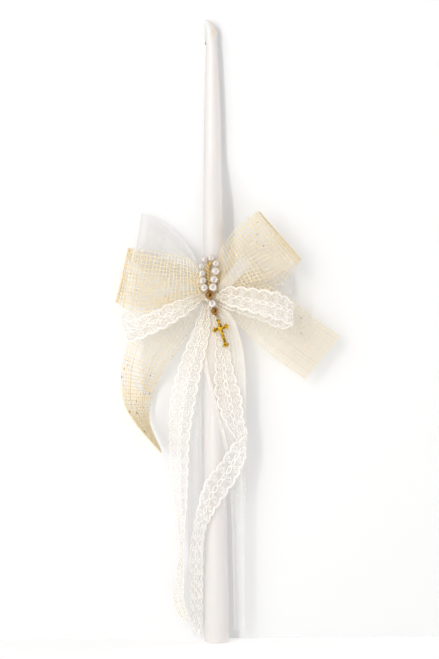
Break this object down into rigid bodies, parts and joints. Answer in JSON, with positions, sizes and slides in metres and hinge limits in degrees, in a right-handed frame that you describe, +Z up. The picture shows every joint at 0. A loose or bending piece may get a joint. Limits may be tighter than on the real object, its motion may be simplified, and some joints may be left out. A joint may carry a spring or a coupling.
{
  "type": "unity candle",
  "caption": "Slim white taper candle dressed at mid height with a bow of burlap, lace and tulle ribbon, a loop of pearls and a hanging gold cross.",
  "frame": {"origin": "centre of the candle's flat base", "axes": "+Z runs up the candle to its wick, -Y is the front with the bow and the cross, +X is the right side seen from the front"},
  "size_m": [0.1613, 0.0342, 0.4508],
  "materials": {
    "wax": "smooth dipped wax, soft satin",
    "wick_cotton": "waxed braided cotton",
    "burlap": "open plain weave of pale jute",
    "lace": "ivory cotton lace with corded scalloped edges",
    "tulle": "sheer fine net",
    "gold_thread": "twisted metallic thread",
    "thread": "fine beading thread",
    "wire": "soft florist wire",
    "pearl": "imitation pearl lustre",
    "copper_gold_bead": "polished copper gold",
    "gold_metal": "cast and gilded"
  },
  "bodies": {
    "candle": {"candle_body": "wax", "wick": "wick_cotton", "burlap_waist": "burlap", "florist_wire": "wire", "lace_knot": "lace", "lace_band": "lace", "burlap_loop_left": "burlap", "burlap_loop_right": "burlap", "burlap_tail_left": "burlap", "burlap_tail_right": "burlap", "lace_loop_left": "lace", "lace_loop_right": "lace", "lace_tail_left": "lace", "lace_tail_right": "lace", "tulle_loop_left": "tulle", "tulle_loop_right": "tulle", "tulle_tail_left": "tulle", "tulle_tail_right": "tulle", "gold_cord": "gold_thread", "bead_thread": "thread", "pearl_01": "pearl", "pearl_02": "pearl", "pearl_03": "pearl", "pearl_04": "pearl", "pearl_05": "pearl", "pearl_06": "pearl", "pearl_07": "pearl", "pearl_08": "pearl", "pearl_09": "pearl", "pearl_10": "pearl", "gold_bead_upper": "copper_gold_bead"},
    "drop_link": {"drop_thread": "thread"},
    "drop_bead": {"drop_pearl": "pearl"},
    "pin_link": {"drop_pin": "gold_metal"},
    "lower_bead": {"gold_bead_lower": "copper_gold_bead"},
    "cross": {"cross_pendant": "gold_metal"}
  },
  "joints": [
    {"name": "drop_swing", "type": "hinge", "parent": "candle", "child": "drop_link", "pos_m": [-0.00224, -0.01879, 0.248], "axis": [0, 1, 0], "range_deg": [-25, 25]},
    {"name": "drop_pearl_spin", "type": "hinge", "parent": "drop_link", "child": "drop_bead", "pos_m": [-0.00224, -0.01879, 0.248], "axis": [0.2965, 0.2561, -0.92], "continuous": true},
    {"name": "drop_lift", "type": "hinge", "parent": "drop_link", "child": "pin_link", "pos_m": [-0.00038, -0.01719, 0.24225], "axis": [-1, 0, 0], "range_deg": [0, 25]},
    {"name": "lower_bead_spin", "type": "hinge", "parent": "pin_link", "child": "lower_bead", "pos_m": [-0.00038, -0.01719, 0.24225], "axis": [0.3248, 0.2598, -0.9094], "continuous": true},
    {"name": "cross_swing", "type": "hinge", "parent": "pin_link", "child": "cross", "pos_m": [0.00192, -0.01535, 0.23582], "axis": [0, 1, 0], "range_deg": [-35, 35]}
  ]
}
